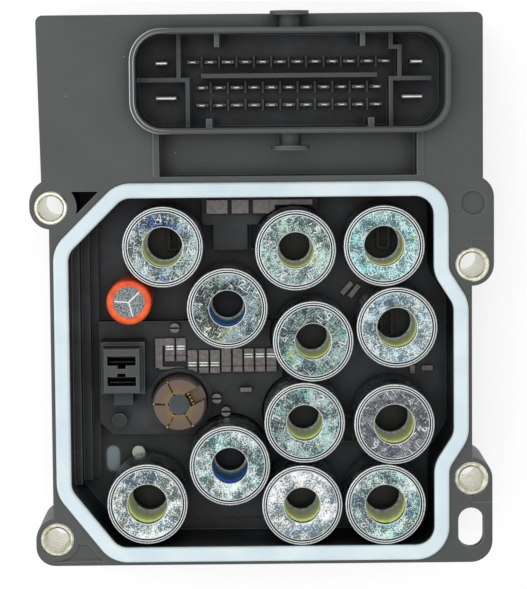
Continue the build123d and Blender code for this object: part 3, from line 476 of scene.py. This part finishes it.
can_zinc = zinc("passivated_zinc_can", "#7d8587", "#c3cac9", "#a8b8b8", 0.3, 0.0, 0.22)
# pale metal that gives a painted highlight on the rims and chamfers, and the bright strokes of the
# stamped digits
burnished_and_highlight = plated("burnished_highlight_zinc", "#b9c1c1", "#f6f9f8", 0.3, 0.4)
groove_shadow_zinc = plated("painted_shadow_groove_zinc", "#101415", "#23292b", 0.5, 0.5)
# the can's rim has two lands with a groove between: the lands are painted bright as a highlight and
# the groove dark as a painted shadow
groove_outer = 8.89
groove_inner = 8.67
groove_depth = 0.15
land_inner = 8.42
groove_slant = 0.04
chamfer = 0.14
bore_round = 0.22
for number, (x, y, bore, dark, crust, film, share) in enumerate(coil_looks, start=1):
    hole = bore + hole_gap
    can_inside = can_bottom + can_plate
    foot_radius = can_radius - foot_round
    groove_floor = coil_top - groove_depth
    can = lathe(f"can_{number}", (x, y), [
        (0, [(hole, can_bottom), (foot_radius, can_bottom)]),
        (0, arc(foot_radius, can_bottom + foot_round, foot_round, -80, 0)),
        (1, arc(can_radius - rim_round, coil_top - rim_round, rim_round, 0, 90)),
        (2, [(groove_outer, coil_top), (groove_outer - groove_slant, groove_floor)]),
        (2, [(groove_inner + groove_slant, groove_floor)]),
        (1, [(groove_inner, coil_top)]),
        (2, [(land_inner, coil_top), (cup_radius, coil_top - chamfer)]),
        (0, [(cup_radius, can_inside), (hole, can_inside)]),
    ], (can_zinc, burnished_and_highlight, groove_shadow_zinc))
    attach(can, "root")
    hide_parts(f"coil_can_{number}")
    finish = zinc(f"passivated_zinc_ring_{number}", dark, crust, film, share, float(number), 0.28)
    # the ring's outer chamfer and the edge of its bore take the painted highlight
    ring = lathe(f"ring_{number}", (x, y), [
        (0, [(bore, ring_bottom), (ring_radius, ring_bottom)]),
        (1, [(ring_radius, coil_top - chamfer), (ring_radius - chamfer, coil_top)]),
        (0, [(ring_radius - 2 * chamfer, coil_top)]),
        (1, arc(bore + bore_round, coil_top - bore_round, bore_round, 90, 180)[:-1]),
        (0, [(bore, coil_top - bore_round)]),
    ], (finish, burnished_and_highlight))
    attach(ring, "root")
    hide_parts(f"coil_ring_{number}")


# Inspection digits are stamped into each pole ring with their feet towards the bore. The
# punch leaves bright burnished strokes with a fine burr, drawn here as thin raised ribbons.
def ribbon(points, width):
    """Quads along a polyline: each point moves half the width to both sides of the line,
    p +- n w / 2, where n is the mean normal of the two segments that meet there."""
    line = np.array(points, dtype=float)
    step = np.diff(line, axis=0)
    normal = np.stack([-step[:, 1], step[:, 0]], axis=1) / np.linalg.norm(step, axis=1)[:, None]
    mean = np.vstack([normal[:1], (normal[:-1] + normal[1:]) / 2, normal[-1:]])
    mean /= np.linalg.norm(mean, axis=1)[:, None]
    sides = np.stack([line + mean * width / 2, line - mean * width / 2], axis=1).reshape(-1, 2)
    return sides, [(2 * i, 2 * i + 1, 2 * i + 3, 2 * i + 2) for i in range(len(line) - 1)]


# each digit as one stroke, in a box one wide with its foot at zero
strokes = {
    "9": [
        (0.9, 1.1), (0.75, 0.85), (0.4, 0.75), (0.1, 0.95), (0.05, 1.25), (0.25, 1.5),
        (0.6, 1.52), (0.88, 1.3), (0.9, 0.8), (0.7, 0.3), (0.4, 0.0),
    ],
    "6": [
        (0.1, 0.5), (0.25, 0.75), (0.6, 0.85), (0.9, 0.65), (0.95, 0.35), (0.75, 0.1),
        (0.4, 0.08), (0.12, 0.3), (0.1, 0.8), (0.3, 1.3), (0.6, 1.6),
    ],
    "4": [(0.75, 0.0), (0.75, 1.6), (0.0, 0.5), (1.0, 0.5)],
    "2": [
        (0.05, 1.2), (0.25, 1.52), (0.6, 1.55), (0.9, 1.25), (0.75, 0.85), (0.0, 0.0),
        (1.0, 0.0),
    ],
    "7": [(0.0, 1.55), (0.95, 1.55), (0.4, 0.0)],
}
digit_size = 1.15
stroke_width = 0.27
digit_foot = 5.7
burr_height = 0.02
# each coil's digits with the turn of each, counted in degrees from the right
stamps = [
    "9:233 2:351 4:96", "7:228 4:173 2:58", "9:43 4:164 2:245", "4:50 2:332 9:243",
    "9:58 2:234 4:175 7:358", "9:224 4:349 2:50", "6:237 2:56 4:358 7:169", "6:227 4:54 2:350",
    "9:56 4:168 2:236", "4:340 9:39 2:226", "9:38 4:352 7:250", "9:45 4:356 2:222",
]
stamp_points = []
stamp_faces = []
for (x, y, *_), marks in zip(coil_looks, stamps):
    for mark in marks.split():
        digit, turn = mark.split(":")
        corners, faces = ribbon(np.array(strokes[digit]) - (0.5, 0.0), stroke_width / digit_size)
        spin = math.radians(float(turn)) - math.pi / 2
        along = corners[:, 0] * digit_size
        outward = corners[:, 1] * digit_size + digit_foot
        placed = np.stack([
            x + along * math.cos(spin) - outward * math.sin(spin),
            y + along * math.sin(spin) + outward * math.cos(spin),
            np.full(len(corners), coil_top + burr_height),
        ], axis=1)
        stamp_faces += [[corner + len(stamp_points) for corner in face] for face in faces]
        stamp_points += (placed * mm).tolist()
stamp_mesh = bpy.data.meshes.new("stamped_digits")
stamp_mesh.from_pydata(stamp_points, [], stamp_faces)
stamped = bpy.data.objects.new("stamped_digits", stamp_mesh)
bpy.context.scene.collection.objects.link(stamped)
dress(stamped, burnished_and_highlight)
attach(stamped, "root")


# ---- coil bobbins and collars ------------------------------------------------------------
# Bobbins are moulded polyester, most in its natural yellow-green and two dyed blue. The
# walls are painted with a glow and light at the top and painted shade low in the bore. Drawn steel
# collars close their lower ends.
wall_foot = 13.5


def bobbin_plastic(name, shade, light, glow):
    """Smooth translucent plastic: painted shade low in the bore, painted light at the top edge,
    drag lines.
    """
    finish, tree, shader = material(name)
    place = node(tree, "TexCoord").outputs["Object"]
    level = node(tree, "SeparateXYZ", {0: place}).outputs["Z"]
    rise = node(tree, "MapRange", {
        "Value": level, "From Min": wall_foot * mm, "From Max": ring_bottom * mm,
    })
    glowing = [(0.0, shade), (0.7, light), (0.9, glow)]
    tone = node(tree, "ValToRGB", {0: rise.outputs[0]}, stops=glowing)
    along = node(tree, "Mapping", {"Vector": place, "Scale": (1.0, 1.0, 0.12)})
    drag = node(tree, "TexNoise", {
        "Vector": along.outputs[0], "Scale": 1 / (0.8 * mm), "Detail": 3.0,
    })
    worn_and_lit = node(tree, "MapRange", {
        "Value": drag.outputs["Fac"], "From Min": 0.3, "From Max": 0.7, "To Min": 0.85,
        "To Max": 1.1,
    })
    shaded = node(tree, "Mix", {
        0: 1.0, 6: tone.outputs[0], 7: worn_and_lit.outputs[0],
    }, data_type="RGBA", blend_type="MULTIPLY")
    tree.links.new(shaded.outputs[2], shader.inputs["Base Color"])
    bump = node(tree, "Bump", {
        "Height": drag.outputs["Fac"], "Strength": 0.2, "Distance": 0.02 * mm,
    })
    tree.links.new(bump.outputs[0], shader.inputs["Normal"])
    shader.inputs["Roughness"].default_value = 0.35
    tree.links.new(shaded.outputs[2], shader.inputs["Emission Color"])
    # a painted glow: emission stands in for light that the clear plastic carries down its wall
    shader.inputs["Emission Strength"].default_value = 0.22
    return finish


yellow_green = bobbin_plastic("yellow_green_polyester", "#8f937c", "#b0b58a", "#eefaa0")
blue = bobbin_plastic("blue_polyester", "#1d4a5c", "#1f5c74", "#4a66cc")
blue_coils = (2, 9)
for number in range(1, len(coil_looks) + 1):
    dress(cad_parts[f"coil_bobbin_{number}"], blue if number in blue_coils else yellow_green)
collar_steel = plated("drawn_steel_collar", "#747a77", "#b0b6b3", 0.8, 0.35)
dress(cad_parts["coil_collars"], collar_steel)

# ---- windings and choke wire -------------------------------------------------------------
# Enamelled copper wire, wound in close layers and reddish brown. Where the choke's wire is
# bent over its core the enamel is thin and the copper shows golden.
copper, tree, shader = material("enamelled_copper")
place = node(tree, "TexCoord").outputs["Object"]
wire_gauge = 0.4
turns = node(tree, "TexWave", {
    "Vector": place, "Scale": 1 / (wire_gauge * mm * 2 * math.pi),
}, bands_direction="Z")
tone = node(tree, "ValToRGB", {0: turns.outputs["Fac"]}, stops=[(0.0, "#6a3a20"), (1.0, "#c98a4e")])
tree.links.new(tone.outputs[0], shader.inputs["Base Color"])
shader.inputs["Metallic"].default_value = 1.0
shader.inputs["Roughness"].default_value = 0.3
dress(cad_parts["coil_windings"], copper)
dress(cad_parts["choke_winding"], plated("bare_copper_bend", "#7a5f33", "#cfae70", 0.6, 0.35))

# ---- sleeves and terminals ---------------------------------------------------------------
# Sleeves are turned steel, zinc-plated with a straw passivation. Pins and blades are stamped
# bronze, tinned bright. The lead frame's tin has gone dull and grey, as have the posts.
straw_zinc = plated("straw_zinc_sleeve", "#c2bf9f", "#f7f6ea", 1.2, 0.25)
for number in range(1, 5):
    dress(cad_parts[f"mounting_sleeve_{number}"], straw_zinc)
# the tin is painted near white on the tips as a highlight and is darker and mottled towards the
# floor
terminal_tin, tree, shader = material("bright_tin_terminal")
place = node(tree, "TexCoord").outputs["Object"]
level = node(tree, "SeparateXYZ", {0: place}).outputs["Z"]
tip_highlight = node(tree, "MapRange", {"Value": level, "From Min": 18.5 * mm, "From Max": 20.5 * mm})
foot_mottle = node(tree, "TexNoise", {"Vector": place, "Scale": 1 / (0.9 * mm), "Detail": 3.0})
foot_tones = [(0.4, "#3f4341"), (0.65, "#8b908d")]
foot = node(tree, "ValToRGB", {0: foot_mottle.outputs["Fac"]}, stops=foot_tones)
tone = node(tree, "Mix", {
    0: tip_highlight.outputs[0], 6: foot.outputs[0], 7: linear("#fafbf8"),
}, data_type="RGBA")
tree.links.new(tone.outputs[2], shader.inputs["Base Color"])
shader.inputs["Metallic"].default_value = 0.4
shader.inputs["Roughness"].default_value = 0.4
for name in ("signal_pins", "power_blades"):
    dress(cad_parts[name], terminal_tin)
dull_tin = plated("dull_tin_strip", "#5c5959", "#7e7a79", 1.1, 0.38)
for name in ("lead_frame", "split_posts", "coil_leads"):
    dress(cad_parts[name], dull_tin)


# Where each strip is welded to the wire below it, the electrodes raise a narrow bright ridge
# across the strip. Two thin lacquered links cross the cavity beside its end walls.
def ridge(left, right, y, height, width, rise, steps=12):
    """Half-round bar along x: y + w/2 cos t and z = height + rise sin t, with t from 0 to pi,
    both tapered to nothing over the last tenth at each end by sqrt(1 - u^2)."""
    points = 9
    taper_start, taper_length = 0.8, 0.2
    t = np.linspace(0.0, math.pi, points)
    u = np.linspace(-1.0, 1.0, steps + 1)
    taper = np.sqrt(1.0 - np.clip((np.abs(u) - taper_start) / taper_length, 0.0, 1.0) ** 2)
    x = np.repeat((left + right) / 2 + u * (right - left) / 2, points)
    across = y + np.outer(taper, np.cos(t)).ravel() * width / 2
    z = height + np.outer(taper, np.sin(t)).ravel() * rise
    corner = np.arange(steps)[:, None] * points + np.arange(points - 1)[None, :]
    quads = np.stack([
        corner, corner + 1, corner + points + 1, corner + points,
    ], axis=-1).reshape(-1, 4)
    return np.stack([x, across, z], axis=1) * mm, quads


def join(name, parts, finish):
    """One mesh object from several lists of points and quads."""
    points = []
    faces = []
    for part_points, part_faces in parts:
        faces += (part_faces + len(points)).tolist()
        points += part_points.tolist()
    mesh = bpy.data.meshes.new(name)
    mesh.from_pydata(points, [], faces)
    mesh.polygons.foreach_set("use_smooth", np.ones(len(faces), dtype=bool))
    piece = bpy.data.objects.new(name, mesh)
    bpy.context.scene.collection.objects.link(piece)
    dress(piece, finish)
    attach(piece, "root")


strip_top = 12.3
strip_width = 2.25
strip_pitch = 2.66
first_strip = -21.95
ridge_rows = {-14.85: (0, 1), -18.8: (2, 3, 4), -16.85: (7, 8, 9), -20.0: (5,)}
ridge_width = 0.44
ridge_rise = 0.12
ridge_shift = 0.32
ridges = []
for y, row in ridge_rows.items():
    for index in row:
        middle = first_strip + index * strip_pitch
        for shift in (-ridge_shift, ridge_shift):
            ridges.append(ridge(
                middle - strip_width / 2, middle + strip_width / 2, y + shift,
                strip_top, ridge_width, ridge_rise,
            ))
ridge_tin = plated("bright_weld_ridge", "#dce6d8", "#fbfff6", 0.9, 0.35)
join("weld_ridges", ridges, ridge_tin)
link_lacquer = plated("lacquered_link", "#5a4640", "#8a6c64", 0.7, 0.4)
link_width = 0.3
link_rise = 0.2
cavity_floor = 7.5
links = [
    ridge(left=-9.2, right=1.4, y=16.55, height=strip_top,
          width=link_width, rise=link_rise, steps=16),
    ridge(left=-16.5, right=-0.6, y=-56.3, height=cavity_floor,
          width=link_width, rise=link_rise, steps=30),
]
join("lacquered_links", links, link_lacquer)
# the motor contacts are drawn very dark
contact_tin = plated("dark_tin_contact", "#1d1f1d", "#3a3d39", 0.9, 0.4)
dress(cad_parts["motor_contacts"], contact_tin)

# ---- capacitor ---------------------------------------------------------------------------
# An aluminium can drawn from sheet, with a sand-grained end scored to vent, in a shrunk
# orange film. The scores are bright where the tool cut through the grained skin.
grained, tree, shader = material("grained_aluminium")
place = node(tree, "TexCoord").outputs["Object"]
sand = node(tree, "TexNoise", {
    "Vector": place, "Scale": 1 / (0.3 * mm), "Detail": 4.0, "Roughness": 0.7,
})
sanded = [(0.42, "#4b5054"), (0.62, "#a9afb2")]
tone = node(tree, "ValToRGB", {0: sand.outputs["Fac"]}, stops=sanded)
level = node(tree, "SeparateXYZ", {0: place}).outputs["Z"]
capacitor_top = 26.5
score_edge = capacitor_top - 0.03
score_bottom = capacitor_top - 0.08
cut = node(tree, "MapRange", {
    "Value": level, "From Min": score_edge * mm, "From Max": score_bottom * mm,
})
scored = node(tree, "Mix", {
    0: cut.outputs[0], 6: tone.outputs[0], 7: linear("#e8eaea"),
}, data_type="RGBA")
tree.links.new(scored.outputs[2], shader.inputs["Base Color"])
shader.inputs["Metallic"].default_value = 0.85
shader.inputs["Roughness"].default_value = 0.42
bump = node(tree, "Bump", {"Height": sand.outputs["Fac"], "Strength": 0.4, "Distance": 0.04 * mm})
tree.links.new(bump.outputs[0], shader.inputs["Normal"])
dress(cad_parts["capacitor_can"], grained)
film, tree, shader = material("orange_shrink_film")
place = node(tree, "TexCoord").outputs["Object"]
cloud = node(tree, "TexNoise", {"Vector": place, "Scale": 1 / (2.0 * mm), "Detail": 4.0})
oranges = [(0.35, "#e03c04"), (0.65, "#ff6412")]
tone = node(tree, "ValToRGB", {0: cloud.outputs["Fac"]}, stops=oranges)
tree.links.new(tone.outputs[0], shader.inputs["Base Color"])
shader.inputs["Roughness"].default_value = 0.2
shader.inputs["IOR"].default_value = 1.5
dress(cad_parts["capacitor_sleeve"], film)

# ---- choke core --------------------------------------------------------------------------
# A pressed ferrite pot under a thin lacquer. The lacquer has baked brown with a golden sheen
# near the hub, and the ferrite under it has a fine pressed grain.
ferrite, tree, shader = material("lacquered_ferrite")
place = node(tree, "TexCoord").outputs["Object"]
choke_middle = (-19.65 * mm, -27.3 * mm, 0.0)
offset = node(tree, "VectorMath", {0: place, 1: choke_middle}, operation="SUBTRACT")
flat = node(tree, "VectorMath", {0: offset.outputs[0], 1: (1.0, 1.0, 0.0)}, operation="MULTIPLY")
reach = node(tree, "VectorMath", {0: flat.outputs[0]}, operation="LENGTH")
cloud = node(tree, "TexNoise", {"Vector": place, "Scale": 1 / (2.2 * mm), "Detail": 5.0})
uneven = node(tree, "Math", {
    0: cloud.outputs["Fac"], 1: 2.4 * mm, 2: reach.outputs["Value"],
}, operation="MULTIPLY_ADD")
ring_share = node(tree, "MapRange", {
    "Value": uneven.outputs[0], "From Min": 3.4 * mm, "From Max": 8.0 * mm,
})
baked = [(0.1, "#7d6b4c"), (0.4, "#74604f"), (0.8, "#6b5f5a")]
tone = node(tree, "ValToRGB", {0: ring_share.outputs[0]}, stops=baked)
tree.links.new(tone.outputs[0], shader.inputs["Base Color"])
shader.inputs["Metallic"].default_value = 0.5
shader.inputs["Roughness"].default_value = 0.4
bump = node(tree, "Bump", {"Height": cloud.outputs["Fac"], "Strength": 0.2, "Distance": 0.05 * mm})
tree.links.new(bump.outputs[0], shader.inputs["Normal"])
dress(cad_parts["choke_core"], ferrite)

# ---- vent plug, vent film and circuit board ----------------------------------------------
# The vent is a pale moulded plug beside an oval well closed by a microporous film. The board
# is glass and epoxy laminate under green solder resist, and shows only through its bay.
vent_white = moulded_plastic(
    "pale_vent_plastic", "#f0f6e2", "#fafff0", 0.5, low=2.0, high=6.0, edge_highlight=0.2,
)
dress(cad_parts["vent_plug"], vent_white)
vent_film = moulded_plastic(
    "grey_vent_film", "#8c979b", "#b4c4ca", 0.6, low=2.0, high=6.0, edge_highlight=0.0,
)
dress(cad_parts["vent_membrane"], vent_film)
resist = moulded_plastic("green_solder_resist", "#15392a", "#1d4a36", 0.35, low=0.0, high=3.0)
dress(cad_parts["circuit_board"], resist)
